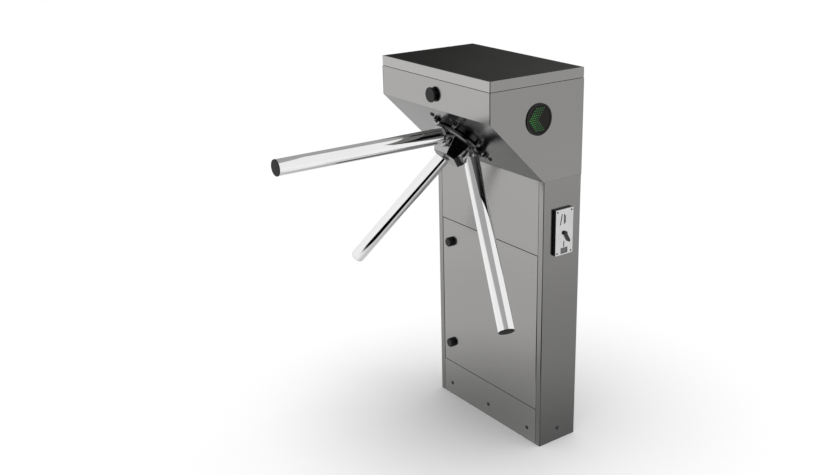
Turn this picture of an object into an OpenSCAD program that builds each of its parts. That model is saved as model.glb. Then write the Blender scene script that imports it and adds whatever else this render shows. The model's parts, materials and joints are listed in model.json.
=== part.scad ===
// Tripod turnstile: sheet-steel column and head, three-arm rotor on a slanted face.
// Origin: centre of the floor anchors on the underside of the base plate.
// +Z is up, +X is the side with the coin unit, -Y is the side with the arms.

/* [Cabinet] */
// Width of the cabinet, side to side
body_w = 438; // [420:1:480]
// Depth of the column
column_d = 124; // [118:1:150]
// Depth of the head
head_d = 292; // [286:1:310]
// Height of the whole cabinet
total_h = 1000; // [990:1:1060]
// Height of the lid's rim
lid_h = 25; // [22:1:32]
// Height of the head's upright front face, below the lid
head_front_h = 74; // [68:1:90]
// Angle of the slanted face from level
slope_a = 45; // [43:0.5:47]
// Thickness of the sheet steel
sheet_t = 2; // [1.5:0.1:2.4]
// Gap between the lid and the head
lid_seam = 1.2; // [0.8:0.1:2]
// Outer radius of the folds
fold_r = 2.5; // [2.5:0.1:4]
// Width of the front and rear strips folded on the side frames
strip_w = 18; // [16:0.5:22]
// Height of the kick plate
kick_h = 103; // [90:1:120]
// Height of the upper front panel, between the door and the head
upper_h = 195; // [180:1:215]
// Depth of the cross rails behind the front panels
rail_d = 26; // [22:1:32]
// Height of the cross rails
rail_h = 24; // [20:1:30]

/* [Base] */
// Thickness of the base plate
base_t = 10; // [8:0.5:14]
// Distance between floor anchors across the cabinet
anchor_span_x = 340; // [300:1:360]
// Distance between floor anchors from front to back
anchor_span_y = 76; // [70:1:84]
// Radius of the floor anchor holes
anchor_r = 7; // [5:0.5:8]
// Radius of the cable entry in the base plate
cable_r = 28; // [20:1:32]
// Height of the screw line above the floor
foot_screw_z = 35.5; // [30:0.5:42]
// Distance of the outer front screws from the cabinet's sides
foot_screw_in = 53; // [44:1:75]

/* [Service door] */
// Gap round the service door
door_gap = 1.8; // [1.7:0.1:2.4]
// Depth of the door's returns
return_d = 14; // [12:0.5:18]
// Radius of the pivot pins
pivot_r = 2; // [1.6:0.1:2.2]
// Distance of the pivots from the door's hinged edge
pivot_in = 5; // [4.8:0.1:5.4]
// Distance of the pivots behind the door's face
pivot_back = 4.7; // [4.7:0.1:5]
// Radius of the round door knobs
knob_r = 13; // [11:0.5:15]
// How far the door knobs stand out
knob_l = 12.5; // [10:0.5:18]
// Distance of the knobs from the door's free edge
knob_in = 36; // [32:1:42]
// Distance of the upper knob below the top of the door
knob_drop = 62; // [50:1:80]
// Distance of the lower knob above the bottom of the door
knob_rise = 63; // [50:1:80]
// Radius of the lock spindles
spindle_r = 4; // [3:0.5:5]
// Gap between the locked cams' tips and the side frame
cam_tip_gap = 2; // [1.5:0.5:4]
// Width of the lock cams
cam_w = 16; // [12:1:18]

/* [Head lock] */
// Height of the head lock above the fold of the head
lock_rise = 35; // [30:1:42]
// Radius of the fixed disc
lock_disc_r = 13; // [12:0.5:15]
// Thickness of the fixed disc
lock_disc_t = 3; // [2.5:0.5:4]
// Radius of the turning knob
lock_knob_r = 18.5; // [16:0.5:21]
// Thickness of the turning knob
lock_knob_t = 5; // [4:0.5:8]
// Gap between the fixed disc and the knob
lock_neck = 2.5; // [2:0.5:4]

/* [Lid] */
// Inset of the black top panel from the lid's edges
inset_edge = 3; // [2.6:0.1:5]
// Thickness of the black top panel
inset_t = 3; // [2:0.5:4]
// Distance of the hinges from the middle
hinge_x = 140; // [110:1:160]
// Length of each hinge
hinge_l = 60; // [48:1:72]
// Outer radius of the hinge knuckles
knuckle_r = 4; // [3.5:0.1:5]
// Radius of the hinge pins
hinge_pin_r = 2; // [1.5:0.1:2.2]
// Height of the hinge leaves
leaf_h = 22; // [16:1:22]

/* [Displays] */
// Radius of the round displays
display_r = 39; // [34:0.5:42]
// Distance of the displays in front of the column's middle plane
display_out = 82.4; // [76:0.1:90]
// Height of the displays below the lid
display_drop = 82; // [70:1:90]
// Width of the display rims
display_rim = 4; // [3:0.5:5]
// Radius of one lamp
lamp_r = 1.5; // [1:0.1:1.7]
// Distance between lamps
lamp_pitch = 4.4; // [4:0.1:4.6]

/* [Coin unit] */
// Width of the coin plate
coin_w = 58; // [55:1:66]
// Height of the coin plate
coin_h = 120; // [114:1:128]
// Distance of the coin plate's centre below the head
coin_drop = 136.5; // [125:0.5:150]
// Distance of the coin plate behind the column's middle plane
coin_y = 0; // [-2:0.5:4]
// Depth of the coin unit's body outside the cabinet
coin_body_d = 6.5; // [6:0.5:10]
// Thickness of the coin plate
coin_plate_t = 3; // [2:0.5:4]
// Width of the coin slots
coin_slot_w = 3; // [2.2:0.1:3.6]

/* [Rotor] */
// Distance from the arms' meeting point to their ends
arm_reach = 530; // [480:1:560]
// Radius of the arm tubes
arm_r = 20; // [18:0.5:21]
// Wall of the arm tubes
arm_wall = 2; // [1.5:0.1:3]
// Depth of the arms' meeting point behind the slanted face
apex_in = 18.3; // [17:0.1:19.5]
// Distance from the meeting point to the bottoms of the sockets
socket_from = 62; // [61:0.5:64]
// Distance from the meeting point to the mouths of the sockets
socket_to = 78; // [76:0.5:84]
// Wall of the socket collars
collar_wall = 5; // [4:0.5:6]
// Radius of the hub's round plate
hub_plate_r = 68; // [66:0.5:69]
// Distance of the hub's back from the slanted face
hub_back = 8; // [7.5:0.1:9]
// Thickness of the hub's round plate
hub_plate_t = 12; // [10:0.5:13]
// Distance of the hub's end face from the slanted face
hub_end = 66; // [64:0.5:76]
// Radius of the main shaft
shaft_r = 12.5; // [11.5:0.1:13]
// Radius of the hub bolt's shank
hub_bolt_r = 6; // [5:0.5:7]

/* [Hub flange] */
// Radius of the fixed flange
flange_r = 71; // [70:0.5:73]
// Thickness of the fixed flange
flange_t = 6; // [5:0.1:6]
// Distance of the flange screws from the rotor's axis
flange_screw_d = 75; // [75:0.5:77]
// Radius of the flange's ears
ear_r = 9; // [8:0.5:10]

/* [Mechanism] */
// Thickness of the mechanism plate
mech_t = 8; // [6:0.5:10]
// Width of the mechanism plate
mech_w = 240; // [220:1:260]
// Distance of the mechanism plate from the slanted panel's fold and foot
mech_margin = 20.8; // [19:0.1:24]
// Least distance of the plate screws from the axis
plate_screw_d = 92.5; // [91:0.5:95]
// Outer radius of the bearing housing
housing_r = 36; // [33:0.5:40]
// Length of the bearing housing
housing_l = 62; // [56:1:66]
// Outer radius of the ball bearings
bearing_r = 26; // [25:0.5:28]
// Width of the ball bearings
bearing_w = 15; // [13:0.5:16]
// Radius of the index disc
disc_r = 50; // [47:0.5:52]
// Thickness of the index disc
disc_t = 8; // [6:0.5:10]
// Depth of the index disc's notches
notch_d = 9; // [8.5:0.1:10]
// Width of the index disc's notches
notch_w = 12; // [11.5:0.1:14]
// Travel of the locking pawls' noses
pawl_travel = 8; // [6:0.1:8]

/* [Hidden] */
$fn = 64;

// Overrun of every cut
over = 1;
// Radial clearance of running fits
run_c = 0.05;
// Clearance of seated pieces
seat_c = 0.1;
// Facets of small round things
fine = 32;

// Colours
steel = [0.62, 0.62, 0.61];
chrome = [0.86, 0.86, 0.87];
black = [0.06, 0.06, 0.06];
gunmetal = [0.25, 0.25, 0.26];
zinc = [0.70, 0.71, 0.68];
silver = [0.78, 0.78, 0.77];

// Planes of the cabinet
half_w = body_w / 2;
inner_x = half_w - sheet_t;
front_y = -column_d / 2;
rear_y = column_d / 2;
head_front_y = rear_y - head_d;
lid_z = total_h - lid_h;
fold_z = lid_z - head_front_h;
head_drop = (head_d - column_d) * tan(slope_a);
head_z = fold_z - head_drop;
door_z = kick_h;
door_top_z = head_z - upper_h;
door_h = door_top_z - door_z;
coin_z = head_z - coin_drop;
opening_x = half_w - strip_w;
face_l = (head_d - column_d) / cos(slope_a);
face_mid = [0, (head_front_y + front_y) / 2, (fold_z + head_z) / 2];
// Shifts of the slanted panel's inner corners, at the fold and at the foot
fold_in = sheet_t * tan((90 - slope_a) / 2);
foot_in = sheet_t / sin(slope_a);

// Door
door_x = opening_x - door_gap;
door_lo = door_z + door_gap;
door_hi = door_top_z - door_gap;
pivot_x = door_x - pivot_in;
pivot_y = front_y + pivot_back;
knob_x = knob_in - door_x;
knob_zs = [door_lo + knob_rise, door_hi - knob_drop];
cam_t = spindle_r * 0.75;
cam_gap = spindle_r * 0.75;
cam_l = inner_x + knob_x - cam_tip_gap;
cam_y = front_y + sheet_t + cam_gap;
collar_t = spindle_r * 0.6;
notch_up = cam_l * 0.8;
edge_r = fold_r * 0.6;

// Base
upstand_t = base_t * 0.6;
upstand_h = foot_screw_z + base_t * 1.6;
lug_w = base_t * 5;
foot_screw_x = half_w - foot_screw_in;
foot_r = base_t * 0.6;
foot_dome = foot_r * 0.45;
foot_shank_r = foot_r * 0.5;

// Head lock
lock_z = fold_z + lock_rise;
lock_barrel_r = lock_disc_r * 0.5;
lock_barrel_l = lock_disc_t * 5;
lock_out = lock_disc_t + lock_neck + lock_knob_t;
lock_cam_l = lock_rise * 0.8;
lock_cam_y = head_front_y + lock_barrel_l + cam_t;
hook_t = cam_t;
hook_gap = cam_w / 8;

// Lid
barrel_y = rear_y + knuckle_r;
barrel_z = lid_z + lid_seam / 2;
leaf_t = knuckle_r / 2;

// Displays
display_at = [0, -display_out, lid_z - display_drop];
display_proud = sheet_t * 1.5;
lens_r = display_r - display_rim;
lamp_rows = 6;
lamp_columns = 5;
lamp_t = lamp_r * 0.6;
// Places of the lamps: two slanted bands that meet at the front of the arrow
lamp_spots = [
  for (row = [1 - lamp_rows:lamp_rows - 1], col = [0:lamp_columns - 1])
    [lamp_pitch * (col * 1.35 + abs(row) * 0.9 - lamp_rows * 1.1), lamp_pitch * row * 1.2]
];

// Coin unit
coin_x = half_w + coin_body_d;
coin_face_x = coin_x + coin_plate_t;
coin_neck_w = coin_w * 0.8;
coin_neck_h = coin_h * 0.88;
coin_neck_in = sheet_t * 6;
coin_screw_in = coin_w * 0.1;
coin_screw_r = coin_w * 0.045;
entry_h = coin_h * 0.24;
entry_drop = coin_h * 0.22;
entry_y = coin_w * -0.02;
rib_t = coin_plate_t * 0.5;
lever_at = [coin_w * 0.02, coin_h * -0.03];
lever_r = coin_w * 0.1;
lever_l = coin_w * 0.48;
lever_t = coin_plate_t * 1.6;
lever_pin_r = lever_r * 0.5;
lower_slot_h = coin_h * 0.13;
lower_slot_drop = coin_h * 0.765;
cup_w = coin_w * 0.4;
cup_h = coin_h * 0.125;
cup_drop = coin_h * 0.91;
flap_gap = coin_slot_w * 0.2;
flap_t = coin_plate_t * 0.5;
validator_d = coin_w * 0.9;
box_d = coin_w * 1.5;
box_h = coin_h * 1.3;
box_gap = coin_h * 0.15;
box_t = sheet_t * 0.75;

// Rotor
arm_angles = [90, 210, 330];
cone_a = 90 - slope_a;
cap_t = arm_wall;
plug_l = arm_r * 1.2;
hub_waist = hub_end * 0.82;
hub_start = hub_back + hub_plate_t;
// Distances from the axis to the hub's flats: below the arms, then between the arms
flat_shares = [[0.70, 0.82], [0.50, 0.62], [0.41, 0.53]];
hub_bolt_head_r = hub_bolt_r * 1.5;
hub_bolt_sink = hub_bolt_r * 2.4;
shaft_top = hub_end * 0.55;
shaft_collar_r = shaft_r * 1.7;
bolt_in = hub_bolt_r * 4;

// Hub flange
flange_bore_r = shaft_collar_r + sheet_t;
flange_screw_r = ear_r * 0.33;
flange_head_r = ear_r * 0.55;

// Mechanism, as depths behind the slanted face
mech_back = sheet_t + mech_t;
mech_h = face_l - 2 * mech_margin;
plate_screw_u = mech_h * 0.424;
// The screws stand clear of the flange's ears, however short the plate is
plate_screw_x = max(mech_w * 0.17, sqrt(max(0, pow(plate_screw_d, 2) - pow(plate_screw_u, 2))));
plate_head_r = ear_r * 0.75;
housing_back = mech_back + housing_l;
plate_t = mech_t * 0.75;
plate_x = disc_r * 2.8;
plate_lo = disc_r * 1.9;
front_bearing = mech_back + sheet_t;
rear_bearing = housing_back - sheet_t - bearing_w;
ball_pitch = (shaft_r + bearing_r) / 2;
ball_r = (bearing_r - shaft_r) * 0.26;
race_r = ball_r + seat_c;
race_gap = ball_r * 0.62;
ball_count = 9;
disc_front = housing_back + disc_t * 1.5;
disc_back = disc_front + disc_t;
disc_hub_r = shaft_r * 1.8;
shaft_tail_r = shaft_r * 0.64;
shaft_end = disc_back + disc_t * 3;
damper_r = disc_r * 0.56;
damper_front = disc_back + disc_t * 0.75;
damper_back = damper_front + disc_t * 3;
leg_r = disc_r * 0.1;
leg_w = leg_r * 1.5;
leg_d = disc_r * 1.28;
leg_angles = [90, 250, 290];

// Pawls, in the plane of the slanted face
nose_gap = disc_t * 0.19;
nose_x = disc_r + nose_gap;
pawl_l = disc_r * 0.9;
tail_l = disc_r * 0.6;
pawl_a = asin(pawl_travel / pawl_l);
pawl_pivot_x = nose_x + disc_r * 0.18;
nose_lift = pawl_travel * 0.15;
pawl_pin_r = disc_r * 0.08;
pawl_eye_r = disc_r * 0.17;
nose_w = notch_w * 0.55;
pawl_t = disc_t * 0.85;
tail_knob_r = disc_r * 0.06;
fork_slot = tail_knob_r * 2.4;
fork_jaw = disc_r * 0.09;
fork_w = disc_r * 0.22;
plunger_r = disc_r * 0.1;
coil_from = pawl_pivot_x + disc_r * 0.5;
coil_l = disc_r;
coil_w = disc_r * 0.6;
plunger_out = coil_from + coil_l * 0.8;

// Board and power supply
board_w = body_w * 0.36;
board_h = head_front_h * 1.2;
board_t = sheet_t * 0.8;
board_stand = sheet_t * 5;
supply_w = body_w * 0.26;
supply_h = door_h * 0.36;
supply_d = column_d * 0.36;

// Puts the children on the slanted face: +Z out of the face, +Y up the slope
module on_face(out = 0) {
  translate(face_mid) rotate([180 - slope_a, 0, 0]) translate([0, 0, out]) children();
}

// Puts the children on an arm's axis, +Z from the meeting point to the arm's end
module on_arm(angle, along = 0) {
  on_face(-apex_in) rotate([0, 0, angle]) rotate([0, cone_a, 0]) translate([0, 0, along])
    children();
}

// Puts the children on the outer face of one side, +Z out of the side and +Y up
module on_side(side, at) {
  translate([side * half_w + at[0], at[1], at[2]]) rotate([0, 0, side * 90])
    rotate([90, 0, 0]) children();
}

// Puts the children on an upright front face, +Z out towards the arms and +Y up
module on_front(x, y, z) {
  translate([x, y, z]) rotate([90, 0, 0]) children();
}

// Plate between two corners
module block(low, high) {
  translate(low) cube(high - low);
}

// Rectangle with round corners
module round_rect(w, d, r) {
  square([w - 2 * r, d], center = true);
  square([w, d - 2 * r], center = true);
  for (x = [-1, 1], y = [-1, 1])
    translate([x * (w / 2 - r), y * (d / 2 - r)]) circle(r = r, $fn = fine);
}

// Domed screw head with its shank, standing on z = 0
module dome_screw(head, dome, shank, depth) {
  ball = (head * head + dome * dome) / (2 * dome);
  intersection() {
    translate([0, 0, dome - ball]) sphere(r = ball);
    cylinder(r = head, h = dome + over);
  }
  translate([0, 0, -depth]) cylinder(r = shank, h = depth, $fn = fine);
}

// Cap screw with a hexagon socket, standing on z = 0
module cap_screw(head, tall, shank, depth) {
  difference() {
    cylinder(r = head, h = tall, $fn = fine);
    translate([0, 0, tall / 2]) cylinder(r = head * 0.5, h = tall, $fn = 6);
  }
  translate([0, 0, -depth]) cylinder(r = shank, h = depth, $fn = fine);
}

module base_plate() {
  y = rear_y - sheet_t;
  color(gunmetal) difference() {
    union() {
      block([-inner_x, -y, 0], [inner_x, y, base_t]);
      block([-opening_x, -y, 0], [opening_x, upstand_t - y, upstand_h]);
      for (s = [-1, 1]) translate([s * (inner_x - upstand_t / 2), 0, upstand_h / 2])
        cube([upstand_t, lug_w, upstand_h], center = true);
    }
    for (x = [-1, 1], y = [-1, 1])
      translate([x * anchor_span_x / 2, y * anchor_span_y / 2, -over])
        cylinder(r = anchor_r, h = base_t + 2 * over);
    translate([0, 0, -over]) cylinder(r = cable_r, h = base_t + 2 * over);
    foot_screw_places() translate([0, 0, -sheet_t - 3 * upstand_t])
      cylinder(r = foot_shank_r + seat_c, h = 3 * upstand_t + sheet_t + over, $fn = fine);
  }
}

// Places of the domed screws: three through the kick plate, one through each side
module foot_screw_places() {
  for (x = [-1, 0, 1]) on_front(x * foot_screw_x, front_y, foot_screw_z) children();
  for (s = [-1, 1]) on_side(s, [0, 0, foot_screw_z]) children();
}

module foot_screws() {
  color(silver) foot_screw_places()
    dome_screw(foot_r, foot_dome, foot_shank_r, sheet_t + upstand_t);
}

// Folded channel, its web on the right, its outer corners rounded
module channel_outline() {
  difference() {
    union() {
      translate([-strip_w, front_y]) square([strip_w - fold_r, column_d]);
      translate([-2 * fold_r, front_y + fold_r]) square([2 * fold_r, column_d - 2 * fold_r]);
      for (y = [front_y + fold_r, rear_y - fold_r]) translate([-fold_r, y]) circle(r = fold_r);
    }
    translate([-strip_w - over, front_y + sheet_t])
      square([strip_w + over - sheet_t, column_d - 2 * sheet_t]);
  }
}

module side_frame() {
  difference() {
    translate([half_w, 0, 0]) linear_extrude(head_z) channel_outline();
    on_side(1, [0, 0, foot_screw_z]) translate([0, 0, -sheet_t - over])
      cylinder(r = foot_shank_r + seat_c, h = sheet_t + 2 * over, $fn = fine);
  }
}

module side_frame_left() {
  color(steel) mirror([1, 0, 0]) side_frame();
}

module side_frame_right() {
  color(steel) difference() {
    side_frame();
    translate([half_w, coin_y, coin_z])
      cube([4 * sheet_t, coin_neck_w + 2 * seat_c, coin_neck_h + 2 * seat_c], center = true);
  }
}

// Angle rail behind the front panels; its leg stands up or hangs down from the level flange
module cross_rail(z, up) {
  y = front_y + sheet_t;
  block([-inner_x, y, z], [inner_x, y + rail_d, z + sheet_t]);
  leg = up ? z : z + sheet_t - rail_h;
  block([-inner_x, y, leg], [inner_x, y + sheet_t, leg + rail_h]);
}

module cross_rails() {
  color(gunmetal) difference() {
    union() {
      cross_rail(door_z - sheet_t, false);
      cross_rail(door_top_z, true);
      cross_rail(head_z - sheet_t, false);
    }
    translate([pivot_x, pivot_y, 0]) cylinder(r = pivot_r + seat_c, h = head_z - rail_h, $fn = fine);
  }
}

// Pivot pins, pressed through the rails' level flanges and into the door's returns
module door_pivot_pins() {
  l = 2 * sheet_t + door_gap + pivot_r;
  color(zinc) for (z = [door_hi - sheet_t, door_lo + sheet_t - l])
    translate([pivot_x, pivot_y, z]) cylinder(r = pivot_r, h = l, $fn = fine);
}

module rear_panel() {
  z = lid_z - lid_seam / 2;
  x = opening_x - seat_c;
  lap = inner_x - seat_c;
  color(steel) {
    block([-x, rear_y - sheet_t, 0], [x, rear_y, z]);
    for (s = [-1, 1]) {
      low = s > 0 ? x - strip_w : -lap;
      high = s > 0 ? lap : strip_w - x;
      block([low, rear_y - 2 * sheet_t, base_t], [high, rear_y - sheet_t, z - strip_w]);
    }
  }
}

module front_sheet(low, high) {
  color(steel) translate([0, front_y + sheet_t / 2, low]) linear_extrude(high - low)
    square([2 * (opening_x - seat_c * 10), sheet_t], center = true);
}

module upper_front_panel() {
  front_sheet(door_top_z, head_z - seat_c);
}

module kick_plate() {
  color(steel) difference() {
    front_sheet(0, door_z);
    foot_screw_places() translate([0, 0, -sheet_t - over])
      cylinder(r = foot_shank_r + seat_c, h = sheet_t + 2 * over, $fn = fine);
  }
}

// Pan with returns on all sides, round holes for the locks and notches for their cams
module service_door() {
  back = front_y + return_d;
  color(steel) difference() {
    translate([0, front_y + return_d / 2, door_lo]) linear_extrude(door_hi - door_lo)
      union() {
        translate([0, edge_r / 2]) square([2 * door_x, return_d - edge_r], center = true);
        translate([0, -edge_r]) square([2 * (door_x - edge_r), return_d - 2 * edge_r], center = true);
        for (s = [-1, 1]) translate([s * (door_x - edge_r), edge_r - return_d / 2])
          circle(r = edge_r, $fn = fine);
      }
    block([sheet_t - door_x, front_y + sheet_t, door_lo + sheet_t],
      [door_x - sheet_t, back + over, door_hi - sheet_t]);
    translate([pivot_x, pivot_y, door_lo - over])
      cylinder(r = pivot_r + run_c, h = door_hi - door_lo + 2 * over, $fn = fine);
    for (z = knob_zs) {
      on_front(knob_x, front_y, z) translate([0, 0, -sheet_t - over])
        cylinder(r = spindle_r + run_c, h = sheet_t + 2 * over);
      block([-door_x - over, front_y + sheet_t + over, z - cam_w],
        [2 * sheet_t - door_x, back + over, z + notch_up]);
    }
  }
}

// Round knob with its collar and spindle
module door_knob(z) {
  tail = sheet_t + cam_gap + cam_t;
  color(black) on_front(knob_x, front_y, z) {
    translate([0, 0, seat_c * 2]) cylinder(r = knob_r, h = collar_t);
    translate([0, 0, collar_t]) cylinder(r = knob_r - collar_t / 2, h = knob_l / 3);
    translate([0, 0, 2 * collar_t]) cylinder(r = knob_r, h = knob_l - 3 * collar_t);
    translate([0, 0, knob_l - collar_t]) cylinder(r1 = knob_r, r2 = knob_r - collar_t, h = collar_t);
    translate([0, 0, -tail]) cylinder(r = spindle_r, h = tail + collar_t);
  }
}

module door_knob_upper() { door_knob(knob_zs[1]); }
module door_knob_lower() { door_knob(knob_zs[0]); }

// Flat cam on the inner end of a lock spindle, pointing up when open
module lock_cam(length, width, thick, bore) {
  difference() {
    union() {
      cylinder(r = width / 2, h = thick);
      translate([-width / 2, 0, 0]) cube([width, length - width / 2, thick]);
      translate([0, length - width / 2, 0]) cylinder(r = width / 2, h = thick);
    }
    translate([0, 0, -over]) cylinder(r = bore + seat_c, h = thick + 2 * over);
  }
}

module door_cam(z) {
  color(zinc) on_front(knob_x, cam_y + cam_t, z) lock_cam(cam_l, cam_w, cam_t, spindle_r);
}

module door_cam_upper() { door_cam(knob_zs[1]); }
module door_cam_lower() { door_cam(knob_zs[0]); }

// Side of the head: upright at the front, slanted below, with a strip folded in at the rear
module head_cheek(side) {
  top = lid_z - lid_seam / 2;
  color(steel) mirror([side > 0 ? 0 : 1, 0, 0]) {
    difference() {
      translate([inner_x, 0, 0]) rotate([90, 0, 90]) linear_extrude(sheet_t)
        polygon([[head_front_y, top], [head_front_y, fold_z], [front_y, head_z],
          [rear_y, head_z], [rear_y, top]]);
      on_side(1, display_at) translate([0, 0, -sheet_t - over])
        cylinder(r = lens_r + seat_c, h = sheet_t + 2 * over);
    }
    block([opening_x, rear_y - sheet_t, head_z], [inner_x, rear_y, top]);
  }
}

module head_cheek_left() { head_cheek(-1); }
module head_cheek_right() { head_cheek(1); }

module head_front_panel() {
  x = inner_x - seat_c;
  color(steel) difference() {
    translate([-x, 0, 0]) rotate([90, 0, 90]) linear_extrude(2 * x)
      polygon([[head_front_y, fold_z], [head_front_y + sheet_t, fold_z + fold_in],
        [head_front_y + sheet_t, lid_z - lid_seam / 2], [head_front_y, lid_z - lid_seam / 2]]);
    on_front(0, head_front_y, lock_z) translate([0, 0, -sheet_t - over])
      cylinder(r = lock_barrel_r + seat_c, h = sheet_t + 2 * over);
  }
}

module slanted_panel() {
  x = inner_x - seat_c;
  color(steel) difference() {
    translate([-x, 0, 0]) rotate([90, 0, 90]) linear_extrude(2 * x)
      polygon([[head_front_y, fold_z], [front_y, head_z], [front_y + foot_in, head_z],
        [head_front_y + sheet_t, fold_z + fold_in]]);
    on_face(-sheet_t - over) cylinder(r = flange_bore_r, h = sheet_t + 2 * over);
    plate_screw_places() translate([0, 0, -sheet_t - over])
      cylinder(r = flange_screw_r + seat_c, h = sheet_t + 2 * over, $fn = fine);
    flange_screw_places() translate([0, 0, -sheet_t - over])
      cylinder(r = flange_screw_r + seat_c, h = sheet_t + 2 * over, $fn = fine);
  }
}

module plate_screw_places() {
  for (x = [-1, 1], u = [-1, 1]) on_face() translate([x * plate_screw_x, u * plate_screw_u, 0])
    children();
}

module flange_screw_places() {
  for (k = [0:5]) on_face() rotate([0, 0, 60 * k]) translate([flange_screw_d, 0, 0]) children();
}

module slanted_panel_screws() {
  color(black) plate_screw_places()
    dome_screw(plate_head_r, plate_head_r * 0.65, flange_screw_r, mech_back - over);
}

module mechanism_plate() {
  color(zinc) difference() {
    on_face(-mech_back) translate([-mech_w / 2, -mech_h / 2, 0]) cube([mech_w, mech_h, mech_t]);
    on_face(-mech_back - over) cylinder(r = flange_bore_r, h = mech_t + 2 * over);
    plate_screw_places() translate([0, 0, -mech_back - over])
      cylinder(r = flange_screw_r + seat_c, h = mech_t + 2 * over, $fn = fine);
    flange_screw_places() translate([0, 0, -mech_back - over])
      cylinder(r = flange_screw_r + seat_c, h = mech_t + 2 * over, $fn = fine);
  }
}

// Fixed ring with six ears, round the gap behind the hub
module hub_flange() {
  color(gunmetal) difference() {
    union() {
      on_face() cylinder(r = flange_r, h = flange_t);
      flange_screw_places() cylinder(r = ear_r, h = flange_t, $fn = fine);
    }
    on_face(-over) cylinder(r = flange_bore_r, h = flange_t + 2 * over);
    flange_screw_places() translate([0, 0, -over])
      cylinder(r = flange_screw_r + seat_c, h = flange_t + 2 * over, $fn = fine);
  }
}

module hub_flange_screws() {
  color(silver) flange_screw_places() translate([0, 0, flange_t])
    cap_screw(flange_head_r, flange_screw_r * 1.5, flange_screw_r, flange_t + mech_back - over);
}

// Corners of the hub's section, from its two distances to the flats, at one height
function hub_ring(share, z) = [
  for (k = [0:5])
    let (
      even = k % 2 == 0,
      d0 = hub_plate_r * share[even ? 1 : 0],
      d1 = hub_plate_r * share[even ? 0 : 1],
      q = 30 + 60 * k,
      side = (d1 - d0 / 2) / sin(60)
    )
    [d0 * cos(q) - side * sin(q), d0 * sin(q) + side * cos(q), z]
];

// Six-sided casting that narrows in two stages
module hub_core() {
  points = concat(hub_ring(flat_shares[0], hub_start - over), hub_ring(flat_shares[1], hub_waist),
    hub_ring(flat_shares[2], hub_end));
  walls = [for (s = [0, 1], k = [0:5])
    [s * 6 + k, s * 6 + (k + 1) % 6, s * 6 + 6 + (k + 1) % 6, s * 6 + 6 + k]];
  polyhedron(points = points, convexity = 4,
    faces = concat([[for (k = [0:5]) k]], [for (w = walls) [w[3], w[2], w[1], w[0]]],
      [[for (k = [5:-1:0]) 12 + k]]));
}

module rotor_hub() {
  rim = hub_plate_t / 4;
  color(gunmetal) difference() {
    union() {
      on_face(hub_back) cylinder(r1 = hub_plate_r - rim, r2 = hub_plate_r, h = rim);
      on_face(hub_back + rim) cylinder(r = hub_plate_r, h = hub_plate_t - 2 * rim);
      on_face(hub_start - rim) cylinder(r1 = hub_plate_r, r2 = hub_plate_r - rim, h = rim);
      on_face() hub_core();
      for (a = arm_angles) on_arm(a, socket_from)
        cylinder(r = arm_r + collar_wall, h = socket_to - socket_from);
    }
    on_face(hub_back - hub_end) cylinder(r = 2 * hub_plate_r, h = hub_end);
    for (a = arm_angles) on_arm(a, socket_from) cylinder(r = arm_r + seat_c / 2, h = hub_end);
    on_face(hub_back - over) cylinder(r = shaft_r + seat_c / 5, h = shaft_top - hub_back + over);
    on_face(hub_back) cylinder(r = hub_bolt_r + seat_c, h = hub_end);
    on_face(hub_end - hub_bolt_sink) cylinder(r = hub_bolt_head_r + seat_c, h = hub_bolt_sink + over);
  }
}

module hub_bolt() {
  color(black) on_face(hub_end - hub_bolt_sink)
    cap_screw(hub_bolt_head_r, hub_bolt_r * 2, hub_bolt_r,
      hub_end - hub_bolt_sink - shaft_top + bolt_in);
}

// Tube with a solid plug pressed in at the hub's end
module arm(angle) {
  color(chrome) on_arm(angle, socket_from + seat_c) difference() {
    cylinder(r = arm_r, h = arm_reach - cap_t - socket_from - seat_c);
    translate([0, 0, plug_l]) cylinder(r = arm_r - arm_wall, h = arm_reach);
  }
}

module arm_level() { arm(arm_angles[0]); }
module arm_left() { arm(arm_angles[1]); }
module arm_right() { arm(arm_angles[2]); }

module arm_end_caps() {
  color(black) for (a = arm_angles) on_arm(a, arm_reach - cap_t) {
    cylinder(r1 = arm_r, r2 = arm_r - cap_t / 2, h = cap_t);
    translate([0, 0, -plug_l]) cylinder(r = arm_r - arm_wall - seat_c, h = plug_l + cap_t / 2);
  }
}

module main_shaft() {
  collar_out = hub_back - seat_c / 2;
  color(zinc) difference() {
    union() {
      on_face(-disc_back) cylinder(r = shaft_r, h = disc_back + shaft_top - seat_c);
      on_face(seat_c - sheet_t) cylinder(r = shaft_collar_r, h = collar_out + sheet_t - seat_c);
      on_face(-shaft_end) cylinder(r = shaft_tail_r, h = shaft_end - disc_back + over);
    }
    on_face(shaft_top - bolt_in - over) cylinder(r = hub_bolt_r + seat_c, h = bolt_in + 2 * over);
  }
}

// Cast housing: front flange on the mechanism plate, wide plate for the locks at the rear
module bearing_housing() {
  color(zinc) difference() {
    union() {
      on_face(-housing_back) cylinder(r = housing_r, h = housing_l);
      on_face(-mech_back - mech_t) cylinder(r = housing_r * 1.35, h = mech_t);
      on_face(-housing_back) translate([-plate_x, -plate_lo, 0])
        cube([2 * plate_x, plate_lo + leg_d + leg_r, plate_t]);
      for (s = [-1, 1]) on_face(-disc_back - disc_t / 4)
        translate([s * pawl_pivot_x, -pawl_l, 0]) cylinder(r = pawl_pin_r, h = disc_t * 3);
    }
    on_face(-housing_back - over) cylinder(r = (shaft_r + bearing_r) / 2, h = housing_l + 2 * over);
    for (w = [front_bearing, rear_bearing]) on_face(-w - bearing_w)
      cylinder(r = bearing_r + seat_c / 5, h = bearing_w);
    on_face(-front_bearing) cylinder(r = bearing_r + seat_c / 5, h = housing_l);
    on_face(-housing_back - over) cylinder(r = bearing_r + seat_c / 5, h = over + sheet_t);
  }
}

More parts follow.
